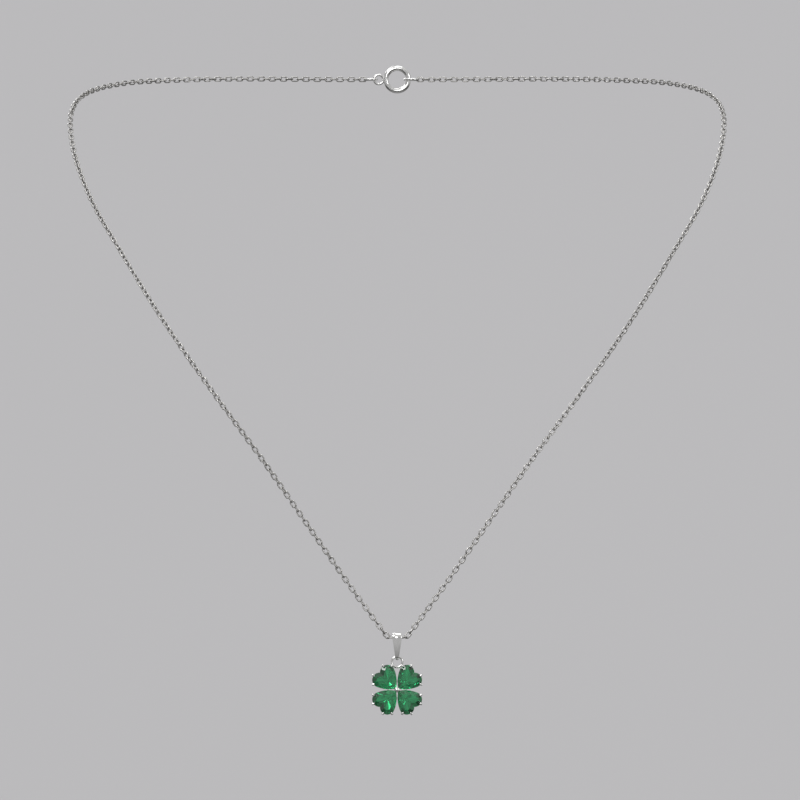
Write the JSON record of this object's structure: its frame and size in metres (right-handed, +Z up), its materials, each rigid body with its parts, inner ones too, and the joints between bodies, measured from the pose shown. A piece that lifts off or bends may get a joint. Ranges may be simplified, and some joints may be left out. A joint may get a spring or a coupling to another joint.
{
  "type": "four leaf clover pendant on a chain",
  "caption": "Clover pendant of heart-cut green stones in a pronged silver setting, hung by a tapered bail on a fine cable chain with a spring-ring clasp.",
  "frame": {"origin": "middle of the neck that the chain goes round, at the height where the chain crosses the sides of the neck", "axes": "+Z up along the neck, front and clover face -Y, +X to the right seen from the front"},
  "size_m": [0.1262, 0.1133, 0.1265],
  "materials": {
    "silver_chain": "polished silver links",
    "silver_polished": "polished silver",
    "green_stone": "faceted and polished"
  },
  "bodies": {
    "necklace": {"chain": "silver_chain", "clasp": "silver_polished", "end_ring_left": "silver_polished", "end_ring_right": "silver_polished"},
    "bail": {"bail": "silver_polished"},
    "clover": {"setting": "silver_polished", "heart_stone_upper_left": "green_stone", "heart_stone_upper_right": "green_stone", "heart_stone_lower_left": "green_stone", "heart_stone_lower_right": "green_stone"}
  },
  "joints": [
    {"name": "bail_swing", "type": "hinge", "parent": "necklace", "child": "bail", "pos_m": [0, -0.066, -0.1013], "axis": [1, 0, 0], "range_deg": [-80, 80]},
    {"name": "clover_swing", "type": "hinge", "parent": "bail", "child": "clover", "pos_m": [0, -0.066, -0.10579], "axis": [0, 1, 0], "range_deg": [-45, 45]}
  ]
}
